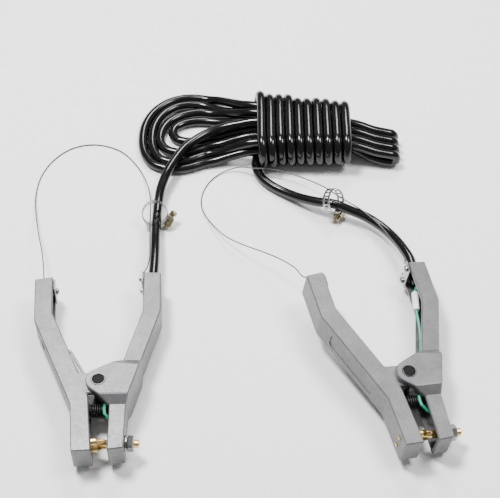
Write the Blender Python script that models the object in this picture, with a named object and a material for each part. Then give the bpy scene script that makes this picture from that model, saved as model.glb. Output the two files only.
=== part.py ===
"""Twin-clamp grounding lead: two cast two-arm clamps, one black cable in a hank, two tether wires.

The floor is z = 0 and both clamps lie on it, jaws towards -Y. Every size is in millimetres and turns
into metres when an object is made. Each clamp is built in its own frame, whose origin is the middle of
the pivot: X runs across the jaws (tether arm at -X, cable arm at +X), Y along them (handles at +Y), and
Z along the pivot.
"""

import math

import bmesh
import bpy
from mathutils import Euler, Matrix, Vector

MM = 0.001
GAP = 0.3
ROUND = 24
SMOOTH_UP_TO = 35
SPRING_STEPS = 10

# The point of the floor that becomes the model's origin: under the middle of the two clamps
ORIGIN = Vector((-8.7, -142.7, 0.0))

# Where each clamp's pivot lies, and how the clamp is turned (pitch, roll and yaw in degrees).
CLAMPS = {
    "left": ((-130.4, -176.1, 20.0), (0.0, 0.0, 0.0)),
    "right": ((134.4, -169.8, 23.2), (1.7, 7.3, 10.1)),
}

# Cast arms
ARM_HALF = 13.5
WALL = 3.2
END_WALL = 3.4
TETHER_OUTER = [(-67.3, 113.3), (-63.1, 67.0), (-23.2, -21.4), (-18.7, -67.3)]
TETHER_INNER = [(-51.0, 116.3), (-47.6, 75.2), (-8.6, -11.6), (-2.1, -66.3)]
CABLE_OUTER = [(48.1, 121.3), (49.9, 77.6), (35.6, 24.0), (24.7, -22.1), (25.0, -63.7)]
CABLE_INNER = [(32.4, 121.7), (33.9, 78.7), (19.6, 24.2), (10.3, -22.4), (11.3, -65.6)]
LUG_R = 10.6
GUSSET = [(-37.6, 53.0), (-30.5, 50.5), (-16.5, 26.5), (-6.0, 8.0), (-25.0, 10.0)]
GUSSET_SLOT = [(-33.5, 47.5), (-31.8, 48.5), (-18.3, 25.7), (-20.0, 24.7)]
EDGE = 0.9
PANEL_LENGTH = 62.0
PANEL_HEIGHT = 15.0
PANEL_DEPTH = 0.7

# Raised ears of the cable arm
EAR_HALF = 19.4
EAR_GAP = 0.4
EAR_TIP_R = 11.2
EAR_FACE = [(0.8, -14.4), (26.6, -13.6), (34.5, 15.9), (11.2, 18.4)]
EAR_FOOT = [(0.8, -14.6), (10.3, -22.4), (24.7, -22.1), (26.9, -13.6), (34.9, 15.9), (35.6, 24.0), (19.6, 24.2)]

# Pivot
TUBE_R = 6.1
TUBE_BORE = 5.5
TUBE_PROUD = 0.6
PIN_R = 5.2

# Jaw spring, hooked over a cast bar in each jaw
SPRING_Y = -20.0
SPRING_R = 5.3
SPRING_WIRE = 0.8
SPRING_TURNS = 10
SPRING_PITCH = 1.95
BAR_R = 1.5
TETHER_BAR_X = -14.0
CABLE_BAR_X = 16.6

# Contacts
POINT_Y = -56.2
POINT_Z = 5.6
POINT_AXIS = Vector((0.993, 0.118, 0.0))
POINT_START = -20.7
POINT_LENGTH = 30.2
STUD_Y = -52.4
NUT_FLATS = 12.0

# Seats of the screws that hold the tether plate and the cord plate
TETHER_SEAT = Vector((-50.35, 108.8, 0.0))
TETHER_SEAT_AXIS = Vector((0.9966, 0.0825, 0.0))
PLATE_SCREW_Z = 8.9

# Cable and wires
CABLE_R = 4.75
CORE_R = 1.4
WIRE_R = 0.6
CABLE_X = 39.8
SLEEVE_R = 3.1

# How far the sleeves and the wires at them stand out of the cable arm's channel
WIRING_OUT = {"left": 0.0, "right": 3.0}

# Hose clamps: ring centre, the way the ring faces, and the housing's place round the ring in degrees
RING_R = 12.6
BAND_T = 0.7
BAND_W = 8.0
BAND_SLOTS = 18
HOSE_CLAMPS = {
    "left": ((-93.0, 32.6, 15.0), (0.12, -0.84, 0.53), -30.0),
    "right": ((81.8, 44.9, 19.3), (-0.76, 0.42, -0.48), 45.0),
}
WORM_R = 2.4

# Ends of the cable and of the tether wires inside each clamp, in the clamp's own millimetres
CABLE_END = [(39.8, 105.0, 0.0), (39.8, 121.0, 0.0)]
TETHER_FIRST = [(-55.6, 103.0, 5.2), (-59.3, 114.6, 5.2)]
TETHER_LAST = [(31.1, 124.1, 7.0)]

# Routes between those ends: each is a smooth curve through these points, in world millimetres
LEAD_LEFT = [
    (-90.2, -38.0, 19.6), (-90.4, -16.4, 17.6), (-91.2, 8.0, 14.2), (-91.2, 30.0, 11.8), (-90.5, 49.0, 11.3),
    (-89.0, 65.5, 13.2), (-84.4, 82.0, 16.0), (-78.6, 97.0, 16.6), (-65.4, 121.0, 16.4), (-45.0, 139.5, 16.6),
    (-26.0, 147.0, 18.6), (-10.0, 148.2, 22.0), (4.4, 148.4, 23.6),
]
LEAD_RIGHT = [
    (151.0, -30.4, 21.2), (147.6, -19.4, 19.6), (141.6, -4.4, 16.4), (132.6, 11.8, 12.9), (123.4, 22.8, 11.7),
    (113.6, 30.2, 12.4), (98.6, 36.6, 14.8), (82.3, 43.4, 16.6), (67.3, 49.2, 13.2), (50.0, 58.6, 8.5),
    (35.0, 68.5, 5.7), (22.1, 77.8, 5.0), (13.1, 87.0, 5.0), (8.0, 96.4, 5.2),
]
TETHER_LEFT = [
    (-191.2, -53.9, 25.0), (-193.4, -38.9, 23.4), (-197.8, -17.6, 19.4), (-205.2, 11.8, 11.4),
    (-211.6, 42.8, 5.0), (-214.6, 68.2, 1.6), (-212.3, 92.9, 1.0), (-203.2, 114.4, 1.0), (-188.3, 130.7, 1.0),
    (-171.3, 138.1, 1.0), (-152.6, 137.8, 1.0), (-132.3, 128.5, 1.0), (-115.7, 108.8, 1.0),
    (-105.8, 88.1, 2.5), (-99.8, 62.9, 8.0), (-97.9, 45.7, 12.5), (-97.2, 31.7, 15.2), (-96.6, 11.9, 17.8),
    (-95.2, -12.6, 21.6), (-94.4, -31.3, 25.2), (-96.0, -44.6, 27.2),
]
TETHER_RIGHT = [
    (48.6, -60.4, 34.0), (41.7, -48.8, 32.0), (28.1, -34.9, 28.0), (11.4, -21.0, 22.0), (-4.8, -8.7, 16.0),
    (-23.2, 8.3, 9.0), (-36.3, 27.1, 4.0), (-45.6, 44.8, 1.5), (-48.7, 58.5, 1.0), (-46.8, 73.8, 1.0),
    (-38.5, 90.1, 1.0), (-26.5, 99.9, 2.0), (-10.2, 102.0, 6.6), (4.0, 96.0, 11.4), (13.0, 95.2, 11.8),
    (25.2, 94.0, 11.4), (40.3, 89.2, 11.0), (60.0, 77.2, 13.6), (74.2, 62.2, 20.0), (83.2, 49.3, 25.0),
    (95.8, 41.3, 22.0), (107.4, 35.2, 18.8), (119.5, 22.7, 18.2), (126.6, 12.3, 18.8), (133.9, -3.1, 21.4),
    (140.7, -21.6, 25.6), (144.6, -36.4, 29.4),
]

# Hank: flat fan of loops on the left, ten wraps, and the folded ends on the right
LOOPS_OUTLINE = [
    (5.7, 125.2), (5.7, 191.0), (-26.5, 199.0), (-46.4, 203.6), (-62.4, 205.4), (-77.0, 203.8),
    (-90.1, 199.0), (-101.5, 189.6), (-110.1, 176.6), (-115.0, 160.0), (-115.6, 144.0), (-113.0, 127.0),
    (-107.5, 112.0), (-100.5, 103.5), (-89.0, 98.0), (-72.4, 95.6), (-56.1, 99.7), (-38.4, 109.0),
    (-18.0, 117.9),
]
LOOPS_Z = (0.3, 11.0)
WRAPS = [(6.0, 142.5, 50.2), (20.0, 141.3, 47.5), (55.0, 138.5, 42.4), (103.0, 136.0, 40.4)]
WRAPS_HALF_H = 20.0
TAIL_OUTLINE = [
    (103.3, 117.5), (103.3, 149.5), (148.0, 141.5), (153.0, 135.0), (153.4, 112.0), (146.5, 105.3),
    (133.9, 107.9),
]
TAIL_Z = (2.0, 24.0)


def clear_scene():
    for obj in list(bpy.data.objects):
        bpy.data.objects.remove(obj, do_unlink=True)


def material(name, colour, roughness, metallic):
    made = bpy.data.materials.get(name) or bpy.data.materials.new(name)
    made.use_nodes = True
    shader = made.node_tree.nodes["Principled BSDF"]
    shader.inputs["Base Color"].default_value = (*colour, 1.0)
    shader.inputs["Roughness"].default_value = roughness
    shader.inputs["Metallic"].default_value = metallic
    return made


def cast_aluminium():
    return material("cast_aluminium", (0.60, 0.61, 0.62), 0.5, 0.9)


def steel():
    return material("steel", (0.62, 0.62, 0.64), 0.3, 1.0)


def black_steel():
    return material("black_steel", (0.02, 0.02, 0.022), 0.4, 0.6)


def brass():
    return material("brass", (0.72, 0.50, 0.20), 0.3, 1.0)


def black_sheath():
    return material("black_sheath", (0.012, 0.012, 0.013), 0.35, 0.0)


def white_nylon():
    return material("white_nylon", (0.80, 0.80, 0.82), 0.5, 0.0)


def green_sheath():
    return material("green_sheath", (0.01, 0.32, 0.20), 0.45, 0.0)


def link(name, data, stuff, parent=None):
    obj = bpy.data.objects.new(name, data)
    bpy.context.scene.collection.objects.link(obj)
    obj.parent = parent
    if stuff is not None:
        data.materials.append(stuff)
    return obj


def mesh_object(name, bm, stuff, parent=None):
    """An object made of a bmesh in millimetres."""
    bmesh.ops.recalc_face_normals(bm, faces=bm.faces)
    bmesh.ops.scale(bm, vec=(MM, MM, MM), verts=bm.verts)
    data = bpy.data.meshes.new(name)
    bm.to_mesh(data)
    bm.free()
    data.shade_smooth()
    data.set_sharp_from_angle(angle=math.radians(SMOOTH_UP_TO))
    return link(name, data, stuff, parent)


def prism(outline, low, high, edge=0.0):
    """A flat outline in XY, extruded from low to high, with its edges rounded."""
    bm = bmesh.new()
    face = bm.faces.new([bm.verts.new((x, y, low)) for x, y in outline])
    side = bmesh.ops.extrude_face_region(bm, geom=[face])
    moved = [item for item in side["geom"] if isinstance(item, bmesh.types.BMVert)]
    bmesh.ops.translate(bm, verts=moved, vec=(0, 0, high - low))
    bmesh.ops.recalc_face_normals(bm, faces=bm.faces)
    if edge:
        bmesh.ops.bevel(bm, geom=list(bm.edges), offset=edge, segments=1, affect="EDGES")
    return bm


def lathe(profile, count=ROUND):
    """(radius, z) points turned round the Z axis. A point on the axis has radius 0."""
    bm = bmesh.new()
    rings = []
    for radius, z in profile:
        if radius == 0:
            rings.append([bm.verts.new((0, 0, z))])
            continue
        angles = [2 * math.pi * n / count for n in range(count)]
        rings.append([bm.verts.new((radius * math.cos(a), radius * math.sin(a), z)) for a in angles])
    closed = profile[0][0] != 0 and profile[-1][0] != 0
    pairs = list(zip(rings, rings[1:] + rings[:1] if closed else rings[1:]))
    for first, second in pairs:
        for n in range(count):
            m = (n + 1) % count
            corners = [first[n % len(first)], first[m % len(first)], second[m % len(second)], second[n % len(second)]]
            bm.faces.new(list(dict.fromkeys(corners)))
    return bm


def aim(obj, point, axis):
    """Moves an object to a point in its parent's frame and turns its Z axis along axis."""
    obj.location = Vector(point) * MM
    obj.rotation_mode = "QUATERNION"
    obj.rotation_quaternion = Vector((0, 0, 1)).rotation_difference(Vector(axis))
    return obj


def boolean(obj, operation, other):
    other.hide_render = True
    other.display_type = "WIRE"
    modifier = obj.modifiers.new(operation.lower(), "BOOLEAN")
    modifier.operation = operation
    modifier.solver = "EXACT"
    modifier.object = other


def cut(obj, bm, parent, point=(0, 0, 0), axis=(0, 0, 1)):
    cutter = mesh_object(f"{obj.name}_cutter", bm, None, parent)
    boolean(obj, "DIFFERENCE", aim(cutter, point, axis))


def join(obj, bm, parent, point=(0, 0, 0), axis=(0, 0, 1)):
    added = mesh_object(f"{obj.name}_added", bm, None, parent)
    boolean(obj, "UNION", aim(added, point, axis))


def offset_path(path, distance):
    """An open path moved sideways, to its left for a positive distance, with mitred corners."""
    moved = []
    for n, point in enumerate(path):
        sides = []
        for a, b in ((n - 1, n), (n, n + 1)):
            if 0 <= a and b < len(path):
                along = (Vector(path[b]) - Vector(path[a])).normalized()
                sides.append(Vector((-along.y, along.x)))
        normal = sum(sides, Vector((0, 0))).normalized()
        moved.append(Vector(point) + normal * distance / normal.dot(sides[0]))
    return moved


def smooth(points, spacing):
    """Points about spacing apart on a smooth curve (centripetal Catmull-Rom) through the given points."""
    points = [Vector(p) for p in points]
    ends = [2 * points[0] - points[1]] + points + [2 * points[-1] - points[-2]]
    route = [points[0]]
    for a, b, c, d in zip(ends, ends[1:], ends[2:], ends[3:]):
        knots = [0.0]
        for p, q in ((a, b), (b, c), (c, d)):
            knots.append(knots[-1] + math.sqrt((q - p).length))
        count = max(1, round((c - b).length / spacing))
        for n in range(1, count + 1):
            t = knots[1] + (knots[2] - knots[1]) * n / count
            route.append(on_segment((a, b, c, d), knots, t))
    return route


def on_segment(points, knots, t):
    """The point at knot t between the middle two of four points, by Barry and Goldman's pyramid."""
    level = points
    for low, high in (((0, 1, 2), (1, 2, 3)), ((0, 1), (2, 3)), ((1,), (2,))):
        shares = [(t - knots[a]) / (knots[b] - knots[a]) for a, b in zip(low, high)]
        level = [p.lerp(q, share) for p, q, share in zip(level, level[1:], shares)]
    return level[0]


def tube(name, route, radius, stuff, parent=None, resolution=2):
    data = bpy.data.curves.new(name, "CURVE")
    data.dimensions = "3D"
    data.bevel_depth = radius * MM
    data.bevel_resolution = resolution
    data.use_fill_caps = True
    spline = data.splines.new("POLY")
    spline.points.add(len(route) - 1)
    for slot, point in zip(spline.points, route):
        slot.co = (*(Vector(point) * MM), 1.0)
    return link(name, data, stuff, parent)


def arm_cavity(outer, inner, reach):
    """The channel's hollow as an outline: everything inside the web, open on the inner side."""
    side = WALL if reach > 0 else -WALL
    floor = offset_path(outer, side)
    top = (Vector(inner[0]) - Vector(outer[0])).normalized()
    low = (Vector(inner[-1]) - Vector(outer[-1])).normalized()
    floor[0] += (floor[1] - floor[0]).normalized() * END_WALL
    floor[-1] += (floor[-2] - floor[-1]).normalized() * END_WALL
    far_top = floor[0] + top * abs((reach - floor[0].x) / top.x)
    far_low = floor[-1] + low * abs((reach - floor[-1].x) / low.x)
    return [tuple(p) for p in floor] + [tuple(far_low), tuple(far_top)]


def arc(radius, start, stop, steps):
    angles = [math.radians(start + (stop - start) * n / steps) for n in range(steps + 1)]
    return [(radius * math.cos(a), radius * math.sin(a)) for a in angles]


def tether_arm(side, clamp):
    lug = [(-9.4, -LUG_R + 0.2), *arc(LUG_R, -90, 90, 14), (-18.4, LUG_R)]
    inner = list(reversed(TETHER_INNER))
    outline = TETHER_OUTER + inner[:2] + lug + inner[2:]
    arm = mesh_object(f"{side}_tether_arm", prism(outline, -ARM_HALF, ARM_HALF, EDGE), cast_aluminium(), clamp)
    gusset = prism(GUSSET, -ARM_HALF + 0.25, -ARM_HALF + WALL - 0.2, 0.4)
    join(arm, gusset, clamp)
    cut(arm, prism(GUSSET_SLOT, -ARM_HALF - 1.0, -ARM_HALF + WALL + 0.5), clamp)
    half = ARM_HALF - WALL
    cut(arm, prism(arm_cavity(TETHER_OUTER, TETHER_INNER, 40.0), -half, half), clamp)
    join(arm, lathe([(0, -half - 0.8), (BAR_R, -half - 0.8), (BAR_R, half + 0.8), (0, half + 0.8)], 12), clamp,
         (TETHER_BAR_X, SPRING_Y, 0))
    join(arm, lathe([(0, 0), (3.6, 0), (3.6, 13.0), (0, 13.0)], 16), clamp, (-63.8, 107.6, 0), TETHER_SEAT_AXIS)
    cut(arm, lathe([(0, -30), (TUBE_R + GAP, -30), (TUBE_R + GAP, 30), (0, 30)]), clamp)
    cut(arm, lathe([(0, -9), (1.6, -9), (1.6, 3), (0, 3)], 12), clamp, TETHER_SEAT, TETHER_SEAT_AXIS)
    cut(arm, lathe([(0, -8), (2.0, -8), (2.0, 8), (0, 8)], 12), clamp, TETHER_FIRST[-1], (0, 1, 0))
    panel_recess(arm, clamp)
    for z in (POINT_Z, -POINT_Z):
        bore = lathe([(0, -2), (2.2, -2), (2.2, 6), (0, 6)], 20)
        cut(arm, bore, clamp, (POINT_START, POINT_Y, z), POINT_AXIS)
    return arm


def panel_recess(arm, clamp):
    """A shallow plain panel with chamfered corners, sunk in the middle of the outer face."""
    top, low = Vector(TETHER_OUTER[1]), Vector(TETHER_OUTER[2])
    along = (low - top).normalized()
    across = Vector((-along.y, along.x))
    half, high, corner = PANEL_LENGTH / 2, PANEL_HEIGHT / 2, 2.5
    outline = [
        (-half, -high + corner), (-half + corner, -high), (half - corner, -high), (half, -high + corner),
        (half, high - corner), (half - corner, high), (-half + corner, high), (-half, high - corner),
    ]
    cutter = prism([tuple(along * a + across * b) for a, b in outline], -PANEL_DEPTH, 3.0)
    cut(arm, cutter, clamp, (*((top + low) / 2), 0.0), (along.y, -along.x, 0.0))


def ear_solid():
    """The raised block round the pivot, with sloped ends, before its hollow is cut."""
    bm = bmesh.new()
    tip = arc(EAR_TIP_R, 122, 238, 10)
    for z in (EAR_HALF, -EAR_HALF):
        for x, y in tip + EAR_FACE:
            bm.verts.new((x, y, z))
    for z in (ARM_HALF - 0.4, 0.4 - ARM_HALF):
        for x, y in tip + EAR_FOOT:
            bm.verts.new((x, y, z))
    hull = bmesh.ops.convex_hull(bm, input=list(bm.verts))
    loose = [v for v in hull["geom_interior"] if isinstance(v, bmesh.types.BMVert)]
    bmesh.ops.delete(bm, geom=loose, context="VERTS")
    bmesh.ops.dissolve_limit(bm, angle_limit=math.radians(3), verts=list(bm.verts), edges=list(bm.edges))
    bmesh.ops.bevel(bm, geom=list(bm.edges), offset=0.8, segments=1, affect="EDGES")
    return bm


def cable_arm(side, clamp):
    outline = CABLE_OUTER + list(reversed(CABLE_INNER))
    arm = mesh_object(f"{side}_cable_arm", prism(outline, -ARM_HALF, ARM_HALF, EDGE), cast_aluminium(), clamp)
    join(arm, ear_solid(), clamp)
    half = ARM_HALF - WALL
    cut(arm, prism(arm_cavity(CABLE_OUTER, CABLE_INNER, -30.0), -half, half), clamp)
    room = ARM_HALF + EAR_GAP
    hollow = [(-20.0, -15.4), (22.6, -15.4), (30.4, 16.6), (-20.0, 16.6)]
    cut(arm, prism(hollow, -room, room), clamp)
    cut(arm, lathe([(0, -30), (TUBE_R + GAP, -30), (TUBE_R + GAP, 30), (0, 30)]), clamp)
    join(arm, lathe([(0, -half - 0.8), (BAR_R, -half - 0.8), (BAR_R, half + 0.8), (0, half + 0.8)], 12), clamp,
         (CABLE_BAR_X, SPRING_Y, 0))
    for z in (PLATE_SCREW_Z, -PLATE_SCREW_Z):
        join(arm, lathe([(0, 0), (3.1, 0), (3.1, 11.4), (0, 11.4)], 20), clamp, (45.4, 117.0, z), (-1, 0, 0))
        cut(arm, lathe([(0, -9), (1.6, -9), (1.6, 3), (0, 3)], 16), clamp, (33.0, 117.0, z), (-1, 0, 0))
    entry = lathe([(0, -8), (CABLE_R + GAP, -8), (CABLE_R + GAP, 8), (0, 8)])
    cut(arm, entry, clamp, (CABLE_X, 120.0, 0), (0, 1, 0))
    stud = lathe([(0, -6), (3.4 + GAP, -6), (3.4 + GAP, 6), (0, 6)], 24)
    cut(arm, stud, clamp, (24.0, STUD_Y, 0), (1, 0, 0))
    return arm


def pivot(side, clamp):
    end = EAR_HALF + TUBE_PROUD
    wall = [(TUBE_BORE, -end), (TUBE_R - 0.3, -end), (TUBE_R, 0.3 - end), (TUBE_R, end - 0.3), (TUBE_R - 0.3, end),
            (TUBE_BORE, end)]
    mesh_object(f"{side}_pivot_tube", lathe(wall), steel(), clamp)
    end -= 0.4
    pin = [(0, -end), (PIN_R - 0.5, -end), (PIN_R, 0.5 - end), (PIN_R, end - 0.5), (PIN_R - 0.5, end), (0, end)]
    mesh_object(f"{side}_pivot_pin", lathe(pin), black_steel(), clamp)


def hook(centre_x, radius, start, stop):
    """Points of a spring's end loop round a bar, in the plane z = 0."""
    return [(centre_x + x, SPRING_Y + y, 0.0) for x, y in arc(radius, start, stop, 8)]


def jaw_spring(side, clamp):
    loop = BAR_R + GAP + SPRING_WIRE
    length = SPRING_TURNS * SPRING_PITCH
    middle = (TETHER_BAR_X + CABLE_BAR_X) / 2
    first = middle - length / 2
    route = hook(TETHER_BAR_X, loop, -40, -320)
    steps = SPRING_STEPS * SPRING_TURNS
    for n in range(steps + 1):
        angle = 2 * math.pi * n / SPRING_STEPS
        route.append((first + length * n / steps, SPRING_Y + SPRING_R * math.cos(angle), SPRING_R * math.sin(angle)))
    route += hook(CABLE_BAR_X, loop, 140, -140)
    tube(f"{side}_jaw_spring", route, SPRING_WIRE, black_steel(), clamp, 0)


def contacts(side, clamp):
    for place, z in (("front", POINT_Z), ("rear", -POINT_Z)):
        shape = [(0, 0), (1.6, 0), (1.9, 0.4), (1.9, 4.5), (3.5, 4.5), (3.5, 21.6), (2.6, 23.2), (1.7, 25.4),
                 (1.3, POINT_LENGTH - 1.0), (0, POINT_LENGTH)]
        point = mesh_object(f"{side}_contact_point_{place}", lathe(shape, 16), brass(), clamp)
        aim(point, (POINT_START, POINT_Y, z), POINT_AXIS)
    shape = [(0, 0), (2.8, 0), (3.4, 0.6), (3.4, 16.8), (4.4, 16.8), (4.4, 19.0), (3.5, 19.0), (3.5, 27.0),
             (2.4, 30.5), (1.5, 34.0), (0, 35.4)]
    stud = mesh_object(f"{side}_contact_stud", lathe(shape, 18), brass(), clamp)
    aim(stud, (37.0, STUD_Y, 0), (-1, 0, 0))
    washer = lathe([(3.7, 0), (7.4, 0), (7.4, 1.2), (3.7, 1.2)], 24)
    aim(mesh_object(f"{side}_stud_washer", washer, steel(), clamp), (25.4, STUD_Y, 0), (1, 0, 0))
    nut = hexagon_nut(NUT_FLATS, 3.7, 5.6)
    aim(mesh_object(f"{side}_stud_nut", nut, steel(), clamp), (26.9, STUD_Y, 0), (1, 0, 0))
    eye = lathe([(3.7, 0), (5.6, 0), (5.6, 1.1), (3.7, 1.1)], 24)
    terminal = mesh_object(f"{side}_ring_terminal", eye, brass(), clamp)
    aim(terminal, (20.5, STUD_Y, 0), (1, 0, 0))
    neck = prism([(-1.7, 4.6), (1.7, 4.6), (1.7, 11.5), (-1.7, 11.5)], 0.15, 0.95)
    added = mesh_object(f"{terminal.name}_neck", neck, None, clamp)
    added.location = Vector((20.5, STUD_Y, 0)) * MM
    added.rotation_euler = (0, math.radians(90), 0)
    boolean(terminal, "UNION", added)


def hexagon_nut(flats, bore, height):
    """A nut with a round bore, its outer corners chamfered."""
    bm = bmesh.new()
    corner = flats / math.sqrt(3)
    levels = [(corner - 0.9, 0.0), (corner, 0.5), (corner, height - 0.5), (corner - 0.9, height)]
    rings = []
    for radius, z in levels:
        rings.append([bm.verts.new((x, y, z)) for x, y in arc(radius, 0, 300, 5)])
    for z in (height, 0.0):
        rings.append([bm.verts.new((x, y, z)) for x, y in arc(bore, 0, 345, 23)])
    outer, inner = rings[:4], rings[4:]
    for low, high in zip(outer, outer[1:]):
        for n in range(6):
            bm.faces.new([low[n], low[(n + 1) % 6], high[(n + 1) % 6], high[n]])
    for n in range(24):
        bm.faces.new([inner[0][n], inner[0][(n + 1) % 24], inner[1][(n + 1) % 24], inner[1][n]])
    for hexagon, circle in ((outer[3], inner[0]), (outer[0], inner[1])):
        for n in range(24):
            near = hexagon[round(n / 4) % 6]
            following = hexagon[round((n + 1) / 4) % 6]
            corners = [near, circle[n], circle[(n + 1) % 24], following]
            bm.faces.new(list(dict.fromkeys(corners)))
    return bm


def wiring(side, clamp):
    out = WIRING_OUT[side]
    for place, start, stop in (
        ("upper", (38.0 - 0.45 * out, 98.6, -4.6), (35.6 - 0.85 * out, 78.6, -4.6)),
        ("lower", (36.2 - 0.93 * out, 93.0, 3.8), (32.4 - out, 73.0, 3.8)),
    ):
        length = (Vector(stop) - Vector(start)).length
        shape = [(0, 0), (SLEEVE_R - 0.7, 0), (SLEEVE_R, 0.9), (SLEEVE_R, length - 0.9), (SLEEVE_R - 0.7, length),
                 (0, length)]
        sleeve = mesh_object(f"{side}_sleeve_{place}", lathe(shape, 16), white_nylon(), clamp)
        aim(sleeve, start, Vector(stop) - Vector(start))
    upper = [(39.3, 103.8, -2.6), (38.7 - 0.17 * out, 101.8, -3.6), (38.1 - 0.43 * out, 99.7, -4.5)]
    lower = [
        (39.6, 104.6, 2.0), (39.5 - 0.1 * out, 102.8, 2.2), (38.2 - 0.67 * out, 98.3, 3.4),
        (36.4 - 0.93 * out, 93.6, 3.8),
    ]
    tube(f"{side}_core_tail_upper", smooth(upper, 2.0), CORE_R, green_sheath(), clamp)
    tube(f"{side}_core_tail_lower", smooth(lower, 3.0), CORE_R, green_sheath(), clamp)
    down = [
        (32.2 - 0.97 * out, 72.4, 3.8), (31.2 - 0.8 * out, 66.0, 3.6), (29.8 - 0.53 * out, 56.0, 2.4),
        (26.6 - 0.2 * out, 42.0, 1.0), (22.4, 28.0, 1.4), (17.8, 14.0, 3.0), (13.6, 2.0, 5.0), (9.6, -9.0, 7.6),
        (6.4, -19.0, 8.6), (6.6, -28.0, 8.2), (11.6, -32.6, 5.2), (17.0, -34.0, 1.8), (19.7, -37.0, 0.2),
        (20.0, -40.4, 0.0),
    ]
    tube(f"{side}_earth_core", smooth(down, 6.0), CORE_R, green_sheath(), clamp)


def pan_screw(name, clamp, point, axis):
    """A pan-head screw, slotted, whose head sits at point and whose shank runs against axis."""
    shape = [(0, -7.5), (1.3, -7.5), (1.3, 0), (2.9, 0), (2.9, 1.3), (2.2, 2.1), (0, 2.2)]
    screw = mesh_object(name, lathe(shape, 14), steel(), clamp)
    aim(screw, point, axis)
    slot = prism([(-3.2, -0.45), (3.2, -0.45), (3.2, 0.45), (-3.2, 0.45)], 1.2, 3.0)
    cut(screw, slot, clamp, point, axis)


def plates(side, clamp):
    plate = prism([(-11.4, -6.0), (11.4, -6.0), (11.4, 6.0), (-11.4, 6.0)], 0.4, 1.9, 0.3)
    held = mesh_object(f"{side}_tether_plate", plate, steel(), clamp)
    out = TETHER_SEAT_AXIS
    turn = Matrix(((0, -out.y, out.x), (0, out.x, out.y), (-1, 0, 0)))
    held.matrix_basis = Matrix.Translation(TETHER_SEAT * MM) @ turn.to_4x4()
    cut(held, lathe([(0, -2), (1.6, -2), (1.6, 4), (0, 4)], 12), clamp, TETHER_SEAT, TETHER_SEAT_AXIS)
    pan_screw(f"{side}_tether_plate_screw", clamp, TETHER_SEAT + TETHER_SEAT_AXIS * 2.2, TETHER_SEAT_AXIS)

    face = [(-12.6, -6.0), (12.6, -6.0), (12.6, 6.4), (5.2, 6.4), (5.2, 3.4), (-5.2, 3.4), (-5.2, 6.4), (-12.6, 6.4)]
    cord_plate = mesh_object(f"{side}_cord_plate", prism(face, 0.0, 1.5, 0.3), steel(), clamp)
    turn = Matrix(((0, 0, -1), (0, 1, 0), (1, 0, 0)))
    cord_plate.matrix_basis = Matrix.Translation(Vector((31.9, 117.0, 0)) * MM) @ turn.to_4x4()
    for place, z in (("front", PLATE_SCREW_Z), ("rear", -PLATE_SCREW_Z)):
        cut(cord_plate, lathe([(0, -4), (1.6, -4), (1.6, 4), (0, 4)], 16), clamp, (31.0, 117.0, z), (-1, 0, 0))
        pan_screw(f"{side}_cord_plate_screw_{place}", clamp, (30.1, 117.0, z), (-1, 0, 0))


def slotted_band(slots):
    """A ring round Z with a rim on each edge and slots between them."""
    bm = bmesh.new()
    outer, inner = RING_R, RING_R - BAND_T
    heights = [-BAND_W / 2, -BAND_W / 4, BAND_W / 4, BAND_W / 2]
    cells = 2 * slots
    grid = {}
    for n in range(cells):
        share = 0.36 if n % 2 else 0.0
        angle = 2 * math.pi * (n + share) / cells
        for k, z in enumerate(heights):
            for r, radius in enumerate((outer, inner)):
                grid[n, k, r] = bm.verts.new((radius * math.cos(angle), radius * math.sin(angle), z))
    for n in range(cells):
        m = (n + 1) % cells
        for k in range(3):
            slot = k == 1 and n % 2 == 0
            if slot:
                bm.faces.new([grid[n, 1, 0], grid[m, 1, 0], grid[m, 1, 1], grid[n, 1, 1]])
                bm.faces.new([grid[n, 2, 0], grid[n, 2, 1], grid[m, 2, 1], grid[m, 2, 0]])
                bm.faces.new([grid[n, 1, 0], grid[n, 1, 1], grid[n, 2, 1], grid[n, 2, 0]])
                bm.faces.new([grid[m, 1, 0], grid[m, 2, 0], grid[m, 2, 1], grid[m, 1, 1]])
                continue
            for r in (0, 1):
                bm.faces.new([grid[n, k, r], grid[m, k, r], grid[m, k + 1, r], grid[n, k + 1, r]])
        for k in (0, 3):
            bm.faces.new([grid[n, k, 0], grid[m, k, 0], grid[m, k, 1], grid[n, k, 1]])
    return bm


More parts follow.
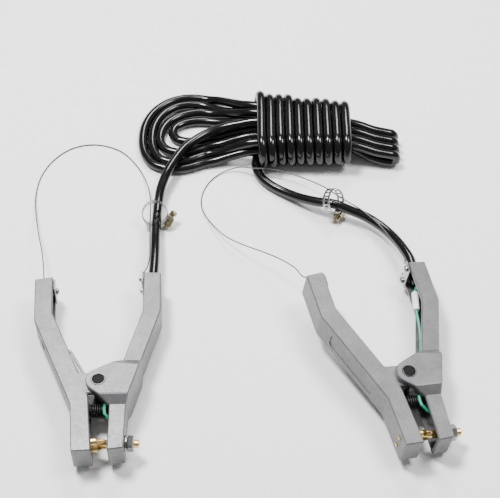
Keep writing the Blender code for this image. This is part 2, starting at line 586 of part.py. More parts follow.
def hose_clamp(side):
    centre, facing, turn = HOSE_CLAMPS[side]
    hub = link(f"{side}_hose_clamp", None, None)
    hub.location = Vector(centre) * MM
    hub.rotation_mode = "QUATERNION"
    facing = Vector(facing).normalized()
    across = Vector((1, 0, 0)) - facing * facing.x
    across.normalize()
    upright = Matrix((across, facing.cross(across), facing)).transposed()
    hub.rotation_quaternion = (upright @ Matrix.Rotation(math.radians(turn), 3, "Z")).to_quaternion()
    mesh_object(f"{side}_hose_band", slotted_band(BAND_SLOTS), steel(), hub)

    low = RING_R + GAP
    worm = low + 0.9 + WORM_R
    top = worm + WORM_R + 0.7
    body = [(low, -6.2), (low + 4.0, -6.2), (top, -4.0), (top, 4.0), (low + 4.0, 6.2), (low, 6.2)]
    housing = mesh_object(f"{side}_hose_housing", prism(body, -BAND_W / 2 - 0.8, BAND_W / 2 + 0.8, 0.6), steel(), hub)
    cut(housing, lathe([(0, -10), (WORM_R + GAP, -10), (WORM_R + GAP, 10), (0, 10)], 24), hub, (worm, 0, 0), (0, 1, 0))
    shape = [(0, -8.0), (WORM_R - 0.5, -8.0), (WORM_R, -7.4)]
    for n in range(4):
        shape += [(WORM_R, -6.4 + n * 3.4), (WORM_R - 0.5, -5.0 + n * 3.4)]
    shape += [(WORM_R, 6.8), (3.4, 6.8), (3.4, 10.0), (2.9, 10.6), (0, 10.6)]
    screw = mesh_object(f"{side}_hose_screw", lathe(shape, 14), steel(), hub)
    aim(screw, (worm, 0, 0), (0, 1, 0))
    slot = prism([(-4.0, -0.5), (4.0, -0.5), (4.0, 0.5), (-4.0, 0.5)], 9.2, 12.0)
    cut(screw, slot, hub, (worm, 0, 0), (0, 1, 0))


def clamp_unit(side):
    place, turn = CLAMPS[side]
    clamp = link(f"{side}_clamp", None, None)
    clamp.location = Vector(place) * MM
    clamp.rotation_euler = Euler([math.radians(angle) for angle in turn])
    cable_arm(side, clamp)
    tether_arm(side, clamp)
    pivot(side, clamp)
    jaw_spring(side, clamp)
    contacts(side, clamp)
    wiring(side, clamp)
    plates(side, clamp)


def hank():
    mesh_object("hank_loops", prism(LOOPS_OUTLINE, *LOOPS_Z, 4.0), black_sheath())
    mesh_object("hank_tail", prism(TAIL_OUTLINE, *TAIL_Z, 3.0), black_sheath())
    bm = bmesh.new()
    rings = []
    for x, y, half in WRAPS:
        rings.append([bm.verts.new((x, y + half * a, WRAPS_HALF_H * (1 + b))) for a, b in arc(1.0, 0, 350, 35)])
    for first, second in zip(rings, rings[1:]):
        for n in range(36):
            bm.faces.new([first[n], first[(n + 1) % 36], second[(n + 1) % 36], second[n]])
    bm.faces.new(rings[0])
    bm.faces.new(rings[-1])
    mesh_object("hank_wraps", bm, black_sheath())


def in_world(side, points):
    """Points of a clamp's own frame, in world millimetres."""
    place, turn = CLAMPS[side]
    turned = Euler([math.radians(angle) for angle in turn]).to_matrix()
    return [Vector(place) + turned @ Vector(point) for point in points]


def leads():
    for side, lead, tether in (("left", LEAD_LEFT, TETHER_LEFT), ("right", LEAD_RIGHT, TETHER_RIGHT)):
        cable = in_world(side, CABLE_END) + lead
        tube(f"lead_{side}", smooth(cable, 14.0), CABLE_R, black_sheath(), None, 3)
        wire = in_world(side, TETHER_FIRST) + tether + in_world(side, TETHER_LAST)
        tube(f"{side}_tether_wire", smooth(wire, 11.0), WIRE_R, steel())


def main():
    clear_scene()
    for side in CLAMPS:
        clamp_unit(side)
        hose_clamp(side)
    hank()
    leads()
    base = link("grounding_lead", None, None)
    base.location = -ORIGIN * MM
    for obj in bpy.data.objects:
        if obj.parent is None and obj != base:
            obj.parent = base


main()
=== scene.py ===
"""Looks of the twin-clamp grounding lead: one long black cable in a hank, two cast clamps, two tether wires.

Route points are the ones of part.py: millimetres in a world whose floor is z = 0. ROW_SHIFT brings them
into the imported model's frame, and everything is handed to Blender in metres.
"""

import math

import bmesh
import bpy
from mathutils import Euler, Matrix, Vector

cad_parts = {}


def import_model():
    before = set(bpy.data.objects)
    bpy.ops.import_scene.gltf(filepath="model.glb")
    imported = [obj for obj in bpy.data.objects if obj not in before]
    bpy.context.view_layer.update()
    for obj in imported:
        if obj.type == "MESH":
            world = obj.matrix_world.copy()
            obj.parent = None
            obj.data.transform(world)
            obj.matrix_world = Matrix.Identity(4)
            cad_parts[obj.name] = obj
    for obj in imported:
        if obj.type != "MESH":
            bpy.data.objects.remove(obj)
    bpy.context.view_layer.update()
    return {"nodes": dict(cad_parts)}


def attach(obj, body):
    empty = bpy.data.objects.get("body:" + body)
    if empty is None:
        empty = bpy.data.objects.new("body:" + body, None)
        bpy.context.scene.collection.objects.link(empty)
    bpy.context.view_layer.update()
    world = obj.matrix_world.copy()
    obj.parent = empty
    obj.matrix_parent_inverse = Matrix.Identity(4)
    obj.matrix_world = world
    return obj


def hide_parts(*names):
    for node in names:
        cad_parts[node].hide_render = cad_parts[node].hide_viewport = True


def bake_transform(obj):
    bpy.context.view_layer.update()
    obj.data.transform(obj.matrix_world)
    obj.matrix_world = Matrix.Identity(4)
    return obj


MM = 0.001
ROW_SHIFT = Vector((8.7, 142.7, 0.0))

# Camera: distance to the middle of the scene, tilt from straight down, and lens
CAMERA_DISTANCE = 1.2329
CAMERA_TILT = 39.2
LENS = 91.51

# Each clamp's pivot in the world, and how the clamp is turned (pitch, roll and yaw in degrees)
CLAMPS = {
    "left": ((-130.4, -176.1, 20.0), (0.0, 0.0, 0.0)),
    "right": ((134.4, -169.8, 23.2), (1.7, 7.3, 10.1)),
}

# Cable and wires. Their routes are smoothed to points about ROUTE_SPACING apart
CABLE_R = 4.75
CABLE_RESOLUTION = 5
WIRE_R = 0.6
WIRE_SIDES = 10
ROUTE_SPACING = 4.0
CABLE_END = [(39.8, 105.0, 0.0), (39.8, 121.0, 0.0)]
TETHER_FIRST = [(-55.6, 103.0, 5.2), (-59.3, 114.6, 5.2)]
TETHER_LAST = [(31.1, 124.1, 7.0)]
LEAD_LEFT = [
    (-90.2, -38.0, 19.6), (-90.4, -16.4, 17.6), (-91.2, 8.0, 14.2), (-91.2, 30.0, 11.8), (-90.5, 49.0, 11.3),
    (-89.0, 65.5, 13.2), (-84.4, 82.0, 16.0), (-78.6, 97.0, 16.6), (-65.4, 121.0, 16.4), (-45.0, 139.5, 16.6),
    (-26.0, 147.0, 18.6), (-10.0, 148.2, 22.0),
]
LEAD_RIGHT = [
    (151.0, -30.4, 21.2), (147.6, -19.4, 19.6), (141.6, -4.4, 16.4), (132.6, 11.8, 12.9), (123.4, 22.8, 11.7),
    (113.6, 30.2, 12.4), (98.6, 36.6, 14.8), (82.3, 43.4, 16.6), (67.3, 49.2, 13.2), (50.0, 58.6, 8.5),
    (35.0, 68.5, 5.7), (22.1, 77.8, 5.0), (13.1, 87.0, 5.0), (8.0, 96.4, 5.2),
]
TETHER_LEFT = [
    (-191.2, -53.9, 25.0), (-193.4, -38.9, 23.4), (-197.8, -17.6, 19.4), (-205.2, 11.8, 11.4),
    (-211.6, 42.8, 5.0), (-214.6, 68.2, 1.6), (-212.3, 92.9, 1.0), (-203.2, 114.4, 1.0), (-188.3, 130.7, 1.0),
    (-171.3, 138.1, 1.0), (-152.6, 137.8, 1.0), (-132.3, 128.5, 1.0), (-115.7, 108.8, 1.0),
    (-105.8, 88.1, 2.5), (-99.8, 62.9, 8.0), (-97.9, 45.7, 12.5), (-97.2, 31.7, 15.2), (-96.6, 11.9, 17.8),
    (-95.2, -12.6, 21.6), (-94.4, -31.3, 25.2), (-96.0, -44.6, 27.2),
]
TETHER_RIGHT = [
    (48.6, -60.4, 34.0), (41.7, -48.8, 32.0), (28.1, -34.9, 28.0), (11.4, -21.0, 22.0), (-4.8, -8.7, 16.0),
    (-23.2, 8.3, 9.0), (-36.3, 27.1, 4.0), (-45.6, 44.8, 1.5), (-48.7, 58.5, 1.0), (-46.8, 73.8, 1.0),
    (-38.5, 90.1, 1.0), (-26.5, 99.9, 2.0), (-10.2, 102.0, 6.6), (4.0, 96.0, 11.4), (13.0, 95.2, 11.8),
    (25.2, 94.0, 11.4), (40.3, 89.2, 11.0), (60.0, 77.2, 13.6), (74.2, 62.2, 20.0), (83.2, 49.3, 25.0),
    (95.8, 41.3, 22.0), (107.4, 35.2, 18.8), (119.5, 22.7, 18.2), (126.6, 12.3, 18.8), (133.9, -3.1, 21.4),
    (140.7, -21.6, 25.6), (144.6, -36.4, 29.4),
]

# Hank: the runs lie in two layers inside the wraps, each in a lane of its own y at the two mouths
LEFT_MOUTH = 6.0
RIGHT_MOUTH = 98.0
LOW, HIGH = 14.8, 25.2
FLOOR = CABLE_R + 0.1
# The outermost loop in plan, from its front leg round the far end to its back leg
LOOP_PLAN = [
    (-27.0, 120.5), (-40.0, 112.5), (-56.0, 104.8), (-72.0, 100.2), (-87.0, 102.0), (-98.5, 107.8),
    (-106.0, 118.0), (-110.2, 131.0), (-111.3, 145.5), (-110.0, 160.5), (-105.0, 175.5), (-97.0, 187.5),
    (-87.0, 196.3), (-75.0, 201.6), (-62.0, 203.4), (-46.0, 201.2), (-27.0, 195.4),
]
PLAN_SPACING = 9.0
# The second loop lies against the outermost one; the two inner ones have plans of their own
PAIR_INSET = 9.8
LOOP_PLAN_3 = [
    (-42.0, 132.4), (-57.0, 126.2), (-71.0, 123.6), (-82.5, 126.2), (-90.5, 133.6), (-93.2, 144.4),
    (-91.2, 156.4), (-85.0, 167.4), (-75.0, 175.6), (-62.0, 180.6), (-51.0, 181.8), (-42.0, 180.6),
]
LOOP_PLAN_4 = [
    (-42.0, 144.8), (-56.0, 140.2), (-67.0, 139.4), (-76.0, 143.0), (-80.4, 150.4), (-78.2, 158.8),
    (-70.6, 164.8), (-60.0, 168.2), (-50.0, 169.0), (-42.0, 168.2),
]
# The lanes (y, z) of each loop's front and back legs at the left mouth
LOOP_LANES = {
    1: ((116.5, LOW), (171.5, HIGH)),
    2: ((118.5, HIGH), (170.5, LOW)),
    3: ((138.0, LOW), (161.5, HIGH)),
    4: ((148.0, LOW), (160.5, LOW)),
}
# A loop's plan ends at LEG_START, from where a leg of LEG_STEPS points rises to the left mouth
LEG_STEPS = 4
LEG_START = -42.0
LEAD_LEFT_END = (LEFT_MOUTH, 148.4, HIGH)
# Each folded end's lanes (y) in the high and the low layer at the right mouth, and its y at the fold
TAILS = {
    1: (116.5, 125.2, 109.8),
    2: (126.8, 134.9, 119.8),
    3: (137.2, 144.6, 129.8),
    4: (147.8, 154.2, 139.8),
}
# Two places on a folded end: x, share of the way in y from the mouth to the fold, z in the high and low layer
TAIL_WAY = [(112.0, 0.35, 23.4, 10.6), (127.0, 0.75, 19.4, 6.6)]
FOLD_X = 143.0
FOLD_R = 5.7
FOLD_Z = 11.2
FOLD_STEPS = 6
# The last run turns up at the right mouth, into the first wrap
LAST_RUN = [
    (80.0, 115.5, LOW), (86.0, 115.4, 14.8), (91.0, 114.4, 14.4), (95.0, 112.0, 13.6),
    (97.6, 108.6, 13.4), (98.4, 105.2, 14.8), (98.4, 103.3, 18.0),
]
# From under the leftmost wrap to the right lead
LEAD_OUT = [(8.6, 132.0, FLOOR), (6.8, 118.0, FLOOR), (6.0, 106.0, FLOOR)]
# Wraps, from the left mouth to the right one: how far each turn reaches at its back and at its front (y)
WRAP_REACH = [
    (191.2, 95.0), (186.6, 95.6), (186.9, 98.0), (186.0, 97.6), (181.2, 98.2), (180.6, 97.6), (181.0, 98.0),
    (180.2, 97.6), (177.0, 98.2), (176.2, 97.8),
]
WRAP_LEFT, WRAP_RIGHT = 11.6, 97.6
# How far the leftmost and the rightmost turn lean in x, and how far the turns rise unevenly over the top
WRAP_SLANTS = (4.8, 1.0)
WRAP_LIFT, WRAP_LIFT_RATE = 0.3, 2.4
WRAP_Z = 20.0
WRAP_R = 15.25
WRAP_STEP = 15

# Jaw spring
SPRING_Y = -20.0
SPRING_R = 5.3
SPRING_WIRE = 0.8
SPRING_SIDES = 8
SPRING_TURNS = 10
SPRING_PITCH = 1.95
SPRING_STEPS = 24
BAR_R = 1.5
BAR_GAP = 0.3
TETHER_BAR_X = -14.0
CABLE_BAR_X = 16.6
HOOK_SWEEP = 280
HOOK_STEPS = 12

# Studio: where the floor and the lamps stand, in metres; each lamp is a square of the given size
STUDIO_MIDDLE = (0.0087, 0.1427, 0.0)
FLOOR_SIZE = 6.0
SKY_STRENGTH = 0.3
LAMP_TARGET = (0.0, 0.1, 0.0)
LAMPS = (
    ("key", (-0.5, 0.45, 1.6), 0.4, 54.0),
    ("fill", (0.8, 0.2, 1.5), 0.5, 22.0),
    ("back", (0.15, 1.3, 1.3), 0.5, 20.0),
)


def row(point):
    """A world point in millimetres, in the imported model's frame and metres."""
    return (Vector(point) + ROW_SHIFT) * MM


def in_world(side, points):
    """Points of one clamp's own frame, in the world."""
    place, turn = CLAMPS[side]
    turned = Euler([math.radians(angle) for angle in turn]).to_matrix()
    return [Vector(place) + turned @ Vector(point) for point in points]


def smooth(points, spacing):
    """Points about spacing apart on a centripetal Catmull-Rom curve through the given points."""
    points = [Vector(p) for p in points]
    ends = [2 * points[0] - points[1]] + points + [2 * points[-1] - points[-2]]
    route = [points[0]]
    for a, b, c, d in zip(ends, ends[1:], ends[2:], ends[3:]):
        knots = [0.0]
        for p, q in ((a, b), (b, c), (c, d)):
            knots.append(knots[-1] + math.sqrt(max((q - p).length, 1e-6)))
        count = max(1, round((c - b).length / spacing))
        for n in range(1, count + 1):
            t = knots[1] + (knots[2] - knots[1]) * n / count
            level = (a, b, c, d)
            for low, high in (((0, 1, 2), (1, 2, 3)), ((0, 1), (2, 3)), ((1,), (2,))):
                shares = [(t - knots[i]) / (knots[j] - knots[i]) for i, j in zip(low, high)]
                level = [p.lerp(q, share) for p, q, share in zip(level, level[1:], shares)]
            route.append(level[0])
    return route


# ---------------------------------------------------------------- materials


def nodes_for(name, **values):
    """A new material, its node tree and its shader, with the given socket values."""
    made = bpy.data.materials.new(name)
    made.use_nodes = True
    shader = made.node_tree.nodes["Principled BSDF"]
    for key, value in values.items():
        socket = shader.inputs[key.replace("_", " ")]
        socket.default_value = (*value, 1.0) if isinstance(value, tuple) else value
    return made, made.node_tree, shader


def noise(tree, scale, detail=4.0, roughness=0.55, stretch=None):
    """A noise texture in object space, in features per metre; stretch scales its three axes."""
    place = tree.nodes.new("ShaderNodeTexCoord")
    texture = tree.nodes.new("ShaderNodeTexNoise")
    texture.inputs["Scale"].default_value = scale
    texture.inputs["Detail"].default_value = detail
    texture.inputs["Roughness"].default_value = roughness
    source = place.outputs["Object"]
    if stretch:
        mapping = tree.nodes.new("ShaderNodeMapping")
        mapping.inputs["Scale"].default_value = stretch
        tree.links.new(source, mapping.inputs["Vector"])
        source = mapping.outputs["Vector"]
    tree.links.new(source, texture.inputs["Vector"])
    return texture.outputs["Fac"]


def ramp(tree, source, stops):
    """Maps a value to colours: stops are (place, colour) with a grey number or three parts."""
    made = tree.nodes.new("ShaderNodeValToRGB")
    elements = made.color_ramp.elements
    while len(elements) < len(stops):
        elements.new(0.5)
    for element, (place, colour) in zip(elements, stops):
        element.position = place
        element.color = (*colour, 1.0) if isinstance(colour, tuple) else (colour, colour, colour, 1.0)
    tree.links.new(source, made.inputs["Fac"])
    return made.outputs["Color"]


def bump(tree, shader, heights):
    """Chains bumps: each is (height socket, strength, distance in metres)."""
    normal = None
    for height, strength, distance in heights:
        made = tree.nodes.new("ShaderNodeBump")
        made.inputs["Strength"].default_value = strength
        made.inputs["Distance"].default_value = distance
        tree.links.new(height, made.inputs["Height"])
        if normal:
            tree.links.new(normal, made.inputs["Normal"])
        normal = made.outputs["Normal"]
    tree.links.new(normal, shader.inputs["Normal"])


def cast_aluminium():
    """Sand-cast and tumbled: a grainy skin, dull grey with cloudy patches and small dark specks."""
    made, tree, shader = nodes_for("cast_aluminium_skin", Metallic=0.6)
    cloud = noise(tree, 70.0, 5.0, 0.65)
    specks = noise(tree, 520.0, 4.0, 0.7)
    grain = noise(tree, 1400.0, 2.0)
    body = ramp(tree, cloud, [
        (0.30, (0.145, 0.145, 0.15)), (0.50, (0.17, 0.17, 0.175)), (0.70, (0.195, 0.195, 0.2)),
    ])
    dark = ramp(tree, specks, [(0.36, 0.8), (0.54, 1.0)])
    shade = tree.nodes.new("ShaderNodeMix")
    shade.data_type = "RGBA"
    shade.blend_type = "MULTIPLY"
    shade.inputs["Factor"].default_value = 1.0
    tree.links.new(body, shade.inputs["A"])
    tree.links.new(dark, shade.inputs["B"])
    tree.links.new(shade.outputs["Result"], shader.inputs["Base Color"])
    tree.links.new(ramp(tree, specks, [(0.3, 0.50), (0.7, 0.34)]), shader.inputs["Roughness"])
    bump(tree, shader, [(specks, 0.3, 0.0004), (grain, 0.3, 0.00015), (cloud, 0.2, 0.0008)])
    return made


def zinc_steel():
    """Zinc-plated sheet and screws: bright, faintly clouded, with fine drawn lines."""
    made, tree, shader = nodes_for("zinc_steel", Metallic=1.0)
    cloud = noise(tree, 160.0, 3.0)
    lines = noise(tree, 260.0, 2.0, 0.6, (1.0, 12.0, 12.0))
    body = ramp(tree, cloud, [(0.3, (0.24, 0.24, 0.245)), (0.7, (0.48, 0.48, 0.47))])
    tree.links.new(body, shader.inputs["Base Color"])
    tree.links.new(ramp(tree, lines, [(0.3, 0.20), (0.7, 0.36)]), shader.inputs["Roughness"])
    bump(tree, shader, [(lines, 0.15, 0.0001), (cloud, 0.1, 0.0002)])
    return made


def yellow_zinc():
    """Yellow-passivated zinc on the worm housing and screw: straw over grey."""
    made, tree, shader = nodes_for("yellow_zinc", Metallic=0.95)
    cloud = noise(tree, 240.0, 4.0)
    body = ramp(tree, cloud, [
        (0.3, (0.15, 0.135, 0.10)), (0.5, (0.30, 0.25, 0.14)), (0.7, (0.42, 0.38, 0.27)),
    ])
    tree.links.new(body, shader.inputs["Base Color"])
    tree.links.new(ramp(tree, cloud, [(0.3, 0.22), (0.7, 0.40)]), shader.inputs["Roughness"])
    bump(tree, shader, [(cloud, 0.15, 0.0002)])
    return made


def wire_rope():
    """Thin stranded steel: dull grey, with the strands' fine ripple."""
    made, tree, shader = nodes_for("wire_rope", Metallic=0.5)
    strands = noise(tree, 900.0, 2.0)
    body = ramp(tree, strands, [(0.35, (0.035, 0.035, 0.037)), (0.65, (0.12, 0.12, 0.125))])
    tree.links.new(body, shader.inputs["Base Color"])
    tree.links.new(ramp(tree, strands, [(0.3, 0.36), (0.7, 0.52)]), shader.inputs["Roughness"])
    bump(tree, shader, [(strands, 0.4, 0.0002)])
    return made


def pin_hollow_painted_shade():
    """Pivot pin in near-black, matt and barely reflecting: painted shade of the hollow in its end, given to
    the whole pin.
    """
    made, tree, shader = nodes_for("pin_hollow_painted_shade", Metallic=0.0, Specular_IOR_Level=0.12)
    cloud = noise(tree, 500.0, 3.0)
    body = ramp(tree, cloud, [(0.35, (0.003, 0.003, 0.003)), (0.7, (0.010, 0.010, 0.010))])
    tree.links.new(body, shader.inputs["Base Color"])
    tree.links.new(ramp(tree, cloud, [(0.3, 0.55), (0.7, 0.7)]), shader.inputs["Roughness"])
    bump(tree, shader, [(cloud, 0.2, 0.0001)])
    return made


def dark_steel():
    """Black-finished steel under a film of oil."""
    made, tree, shader = nodes_for("dark_steel", Metallic=0.0, Specular_IOR_Level=0.35)
    cloud = noise(tree, 400.0, 3.0)
    body = ramp(tree, cloud, [(0.35, (0.004, 0.004, 0.0045)), (0.7, (0.013, 0.013, 0.013))])
    tree.links.new(body, shader.inputs["Base Color"])
    tree.links.new(ramp(tree, cloud, [(0.3, 0.30), (0.7, 0.48)]), shader.inputs["Roughness"])
    bump(tree, shader, [(cloud, 0.15, 0.0001)])
    return made


def turned_brass():
    """Turned brass: fine lathe lines, slightly tarnished."""
    made, tree, shader = nodes_for("turned_brass", Metallic=1.0)
    cloud = noise(tree, 220.0, 4.0)
    lines = noise(tree, 500.0, 2.0, 0.5, (8.0, 1.0, 1.0))
    body = ramp(tree, cloud, [
        (0.3, (0.46, 0.30, 0.11)), (0.6, (0.74, 0.53, 0.22)), (0.8, (0.82, 0.62, 0.30)),
    ])
    tree.links.new(body, shader.inputs["Base Color"])
    tree.links.new(ramp(tree, cloud, [(0.3, 0.22), (0.7, 0.40)]), shader.inputs["Roughness"])
    bump(tree, shader, [(lines, 0.2, 0.00012)])
    return made


def black_pvc():
    """Smooth black cable sheath, semi-gloss, with faint ripples from the cores inside."""
    made, tree, shader = nodes_for("black_pvc", Metallic=0.0, Specular_IOR_Level=0.42)
    cloud = noise(tree, 60.0, 4.0)
    fine = noise(tree, 1500.0, 2.0)
    body = ramp(tree, cloud, [
        (0.3, (0.0020, 0.0020, 0.0022)), (0.6, (0.0032, 0.0032, 0.0034)), (0.8, (0.005, 0.005, 0.0052)),
    ])
    tree.links.new(body, shader.inputs["Base Color"])
    tree.links.new(ramp(tree, cloud, [(0.3, 0.13), (0.75, 0.22)]), shader.inputs["Roughness"])
    bump(tree, shader, [(cloud, 0.12, 0.0006), (fine, 0.12, 0.00008)])
    return made


def white_nylon():
    made, tree, shader = nodes_for("white_nylon_sleeve", Metallic=0.0)
    cloud = noise(tree, 300.0, 3.0)
    body = ramp(tree, cloud, [(0.3, (0.70, 0.70, 0.71)), (0.7, (0.84, 0.84, 0.83))])
    tree.links.new(body, shader.inputs["Base Color"])
    tree.links.new(ramp(tree, cloud, [(0.3, 0.40), (0.7, 0.52)]), shader.inputs["Roughness"])
    bump(tree, shader, [(cloud, 0.15, 0.0001)])
    return made


def green_pvc():
    made, tree, shader = nodes_for("green_pvc", Metallic=0.0)
    cloud = noise(tree, 260.0, 3.0)
    body = ramp(tree, cloud, [(0.3, (0.006, 0.20, 0.12)), (0.7, (0.014, 0.34, 0.21))])
    tree.links.new(body, shader.inputs["Base Color"])
    tree.links.new(ramp(tree, cloud, [(0.3, 0.34), (0.7, 0.48)]), shader.inputs["Roughness"])
    bump(tree, shader, [(cloud, 0.12, 0.0001)])
    return made


def floor_paint():
    made, tree, shader = nodes_for("floor_paint", Roughness=0.9)
    cloud = noise(tree, 3.0, 2.0)
    tree.links.new(ramp(tree, cloud, [(0.3, 0.86), (0.7, 0.89)]), shader.inputs["Base Color"])
    return made


# ---------------------------------------------------------------- pieces


def link(name, data, stuff):
    obj = bpy.data.objects.new(name, data)
    bpy.context.scene.collection.objects.link(obj)
    data.materials.append(stuff)
    return obj


def tube_curve(name, route, radius, stuff, resolution):
    """A round tube along route, as a bevelled curve."""
    data = bpy.data.curves.new(name, "CURVE")
    data.dimensions = "3D"
    data.bevel_depth = radius * MM
    data.bevel_resolution = resolution
    data.use_fill_caps = True
    spline = data.splines.new("POLY")
    spline.points.add(len(route) - 1)
    for place, point in zip(spline.points, route):
        place.co = (*row(point), 1.0)
    return link(name, data, stuff)


def tube_mesh(name, route, radius, stuff, sides):
    """A closed round tube along route, its section carried along without twisting."""
    bm = bmesh.new()
    rings = []
    across = None
    for n, point in enumerate(route):
        along = (route[min(n + 1, len(route) - 1)] - route[max(n - 1, 0)]).normalized()
        if across is None:
            across = along.orthogonal().normalized()
        across = (across - along * across.dot(along)).normalized()
        other = along.cross(across)
        angles = [2 * math.pi * k / sides for k in range(sides)]
        ring = [row(point + (across * math.cos(a) + other * math.sin(a)) * radius) for a in angles]
        rings.append([bm.verts.new(p) for p in ring])
    for first, second in zip(rings, rings[1:]):
        for k in range(sides):
            m = (k + 1) % sides
            bm.faces.new([first[k], first[m], second[m], second[k]])
    bm.faces.new(list(reversed(rings[0])))
    bm.faces.new(rings[-1])
    bmesh.ops.recalc_face_normals(bm, faces=bm.faces)
    data = bpy.data.meshes.new(name)
    bm.to_mesh(data)
    bm.free()
    data.shade_smooth()
    return link(name, data, stuff)


def offset_plan(plan, distance):
    """The plan curve moved towards the inside of the loop."""
    moved = []
    for n, point in enumerate(plan):
        along = plan[min(n + 1, len(plan) - 1)] - plan[max(n - 1, 0)]
        moved.append(point + Vector((along.y, -along.x)).normalized() * distance)
    return moved


def leg_route(start, lane):
    """A leg that leaves the floor at start and rises into its lane at the left mouth. A leg of the low layer
    moves sideways first, to pass under its neighbour of the high layer."""
    points = []
    for n in range(1, LEG_STEPS + 1):
        share = n / LEG_STEPS
        soft = share * share * (3 - 2 * share)
        early = 1 - (1 - share) ** 1.5
        sideways = soft if lane[1] == HIGH else early
        points.append(Vector((
            start.x + (LEFT_MOUTH - start.x) * share,
            start.y + (lane[0] - start.y) * sideways,
            start.z + (lane[1] - start.z) * soft,
        )))
    return points


def loop_route(which):
    """One loop of the fan: front lane, round the far end on the floor, back lane."""
    front, back = LOOP_LANES[which]
    if which < 3:
        plan = [Vector(p[:2]) for p in smooth([(x, y, 0.0) for x, y in LOOP_PLAN], PLAN_SPACING)]
        plan = [p for p in offset_plan(plan, PAIR_INSET * (which - 1)) if p.x < LEG_START]
    else:
        plan = [Vector(p) for p in (LOOP_PLAN_3, LOOP_PLAN_4)[which - 3]]
    flat = [Vector((p.x, p.y, FLOOR)) for p in plan]
    return [*reversed(leg_route(flat[0], front)), *flat, *leg_route(flat[-1], back)]


def tail_route(which):
    """One folded end: high lane, over the fold, low lane."""
    high_y, low_y, end_y = TAILS[which]
    points = [(RIGHT_MOUTH, high_y, HIGH)]
    points += [(x, high_y + (end_y - high_y) * share, high) for x, share, high, _ in TAIL_WAY]
    for n in range(FOLD_STEPS + 1):
        angle = math.radians(90 - 180 / FOLD_STEPS * n)
        points.append((FOLD_X + FOLD_R * math.cos(angle), end_y, FOLD_Z + FOLD_R * math.sin(angle)))
    points += [(x, low_y + (end_y - low_y) * share, low) for x, share, _, low in reversed(TAIL_WAY)]
    points.append((RIGHT_MOUTH, low_y, LOW))
    return [Vector(p) for p in points]


def wrap_point(turn, share, angle, x, lift=0.0):
    """A point of one turn's stadium section; share is 0 at the front half and 1 at the back half."""
    back, front = WRAP_REACH[turn]
    reach = CABLE_R + WRAP_R
    middle = front + reach + (back - front - 2 * reach) * share
    a = math.radians(angle)
    return Vector((x, middle + WRAP_R * math.cos(a), WRAP_Z + (WRAP_R + lift) * math.sin(a)))


def wrap_route():
    """The turns, from the right mouth to the left, each up the front, over the top and back underneath."""
    last = len(WRAP_REACH) - 1
    pitch = (WRAP_RIGHT - WRAP_LEFT) / last
    over = [(0.0, a) for a in range(180, 89, -WRAP_STEP)] + [(1.0, a) for a in range(90, -1, -WRAP_STEP)]
    under = [(1.0, a) for a in range(-WRAP_STEP, -91, -WRAP_STEP)]
    last_under = under[:]
    under += [(0.0, a) for a in range(-90, WRAP_STEP - 181, -WRAP_STEP)]
    points = []
    for turn in range(last, -1, -1):
        x = WRAP_LEFT + pitch * turn
        slant = WRAP_SLANTS[0] + (WRAP_SLANTS[1] - WRAP_SLANTS[0]) * turn / last
        lift = WRAP_LIFT * math.sin(WRAP_LIFT_RATE * turn)
        for n, (share, angle) in enumerate(over):
            if turn == last and n == 0:  # the last run comes up to here
                continue
            lean = slant * (0.5 - n / (len(over) - 1))
            points.append(wrap_point(turn, share, angle, x + lean, lift))
        for n, (share, angle) in enumerate(under if turn else last_under):
            way = (n + 1) / (len(under) + 1)
            shift = -slant / 2 + (slant - pitch) * way if turn else -slant / 2 * (1 - way)
            target = max(turn - 1, 0) if way > 0.5 else turn
            points.append(wrap_point(target, share, angle, x + shift))
    return points


def cable_route():
    """The whole cable, from inside the left clamp, through the hank, into the right clamp."""
    lead_in = in_world("left", CABLE_END) + LEAD_LEFT + [LEAD_LEFT_END]
    tail = {n: tail_route(n) for n in TAILS}
    loop = {n: loop_route(n) for n in LOOP_LANES}
    back = {n: route[::-1] for n, route in tail.items()}
    lead_out = LEAD_OUT + LEAD_RIGHT[::-1]
    parts = [
        lead_in, tail[2], loop[4], back[3], loop[3][::-1], back[1], loop[2], back[4],
        loop[1][::-1], LAST_RUN, wrap_route(), lead_out, in_world("right", CABLE_END[::-1]),
    ]
    return [Vector(point) for part in parts for point in part]


def main_cable(stuff):
    route = smooth(cable_route(), ROUTE_SPACING)
    cable = tube_curve("main_cable", route, CABLE_R, stuff, CABLE_RESOLUTION)
    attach(cable, "cable_side")
    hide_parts("lead_left", "lead_right", "hank_loops", "hank_wraps", "hank_tail")


def tether_wires(stuff):
    for side, middle in (("left", TETHER_LEFT), ("right", TETHER_RIGHT)):
        points = in_world(side, TETHER_FIRST) + middle + in_world(side, TETHER_LAST)
        route = smooth(points, ROUTE_SPACING)
        wire = tube_mesh(f"{side}_tether_rope", route, WIRE_R, stuff, WIRE_SIDES)
        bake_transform(wire)
        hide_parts(f"{side}_tether_wire")


def spring_route(side):
    """Round-wire extension spring: a hook round each cast bar and close turns between."""
    loop = BAR_R + BAR_GAP + SPRING_WIRE
    length = SPRING_TURNS * SPRING_PITCH
    first = (TETHER_BAR_X + CABLE_BAR_X - length) / 2
    points = []
    for n in range(HOOK_STEPS + 1):
        a = math.radians(-40 - HOOK_SWEEP * n / HOOK_STEPS)
        points.append((TETHER_BAR_X + loop * math.cos(a), SPRING_Y + loop * math.sin(a), 0.0))
    steps = SPRING_STEPS * SPRING_TURNS
    for n in range(steps + 1):
        a = 2 * math.pi * n / SPRING_STEPS
        y, z = SPRING_Y + SPRING_R * math.cos(a), SPRING_R * math.sin(a)
        points.append((first + length * n / steps, y, z))
    for n in range(HOOK_STEPS + 1):
        a = math.radians(140 - HOOK_SWEEP * n / HOOK_STEPS)
        points.append((CABLE_BAR_X + loop * math.cos(a), SPRING_Y + loop * math.sin(a), 0.0))
    return in_world(side, points)


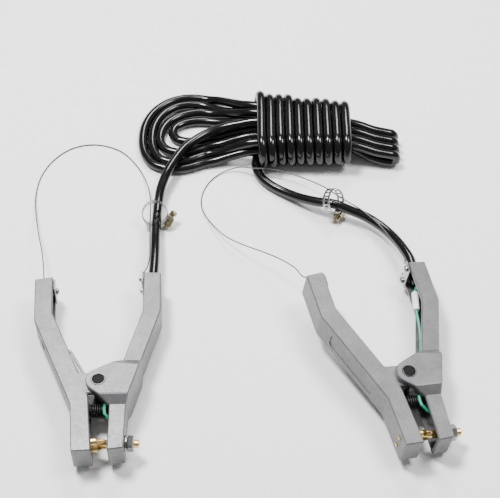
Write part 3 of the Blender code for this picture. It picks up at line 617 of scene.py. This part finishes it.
def jaw_springs(stuff):
    for side in CLAMPS:
        spring = tube_mesh(f"{side}_jaw_coil", spring_route(side), SPRING_WIRE, stuff, SPRING_SIDES)
        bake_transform(spring)
        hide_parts(f"{side}_jaw_spring")


def paint_frame(frame, looks, own_looks):
    """Gives every carried-over CAD node the finish of its slot in the record, or the one of its own."""
    for name, obj in frame["nodes"].items():
        finish = obj.material_slots[0].material.name
        chosen = next((look for part, look in own_looks.items() if name.endswith(part)), looks[finish])
        for place in obj.material_slots:
            place.material = chosen
        shading = obj.modifiers.new("flat_faces", "WEIGHTED_NORMAL")
        shading.keep_sharp = True


def studio():
    bpy.ops.mesh.primitive_plane_add(size=FLOOR_SIZE, location=STUDIO_MIDDLE)
    floor = bpy.context.object
    floor.name = "studio_floor"
    floor.data.materials.append(floor_paint())
    world = bpy.data.worlds.new("studio_sky")
    bpy.context.scene.world = world
    world.use_nodes = True
    sky = world.node_tree.nodes["Background"]
    sky.inputs["Color"].default_value = (1.0, 1.0, 1.0, 1.0)
    sky.inputs["Strength"].default_value = SKY_STRENGTH
    for name, place, size, power in LAMPS:
        data = bpy.data.lights.new(name, "AREA")
        data.size = size
        data.energy = power
        lamp = bpy.data.objects.new(name, data)
        bpy.context.scene.collection.objects.link(lamp)
        lamp.location = place
        aim = Vector(LAMP_TARGET) - Vector(place)
        lamp.rotation_euler = aim.to_track_quat("-Z", "Y").to_euler()


def camera():
    data = bpy.data.cameras.new("photo_view")
    data.sensor_width = 36.0
    data.lens = LENS
    data.clip_end = 20.0
    view = bpy.data.objects.new("photo_view", data)
    bpy.context.scene.collection.objects.link(view)
    tilt = math.radians(CAMERA_TILT)
    middle = ROW_SHIFT * MM
    view.location = middle + CAMERA_DISTANCE * Vector((0.0, -math.sin(tilt), math.cos(tilt)))
    view.rotation_euler = (tilt, 0.0, 0.0)
    bpy.context.scene.camera = view


def main():
    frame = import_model()
    camera()
    sheath = black_pvc()
    steel = zinc_steel()
    dark = dark_steel()
    main_cable(sheath)
    tether_wires(wire_rope())
    jaw_springs(dark)
    looks = {
        "cast_aluminium": cast_aluminium(), "black_steel": dark, "steel": steel, "brass": turned_brass(),
        "black_sheath": sheath, "white_nylon": white_nylon(), "green_sheath": green_pvc(),
    }
    yellow = yellow_zinc()
    # The pivot pin gets painted shade: near-black for the hollow in its end.
    paint_frame(frame, looks, {"hose_housing": yellow, "hose_screw": yellow, "pivot_pin": pin_hollow_painted_shade()})
    studio()


main()
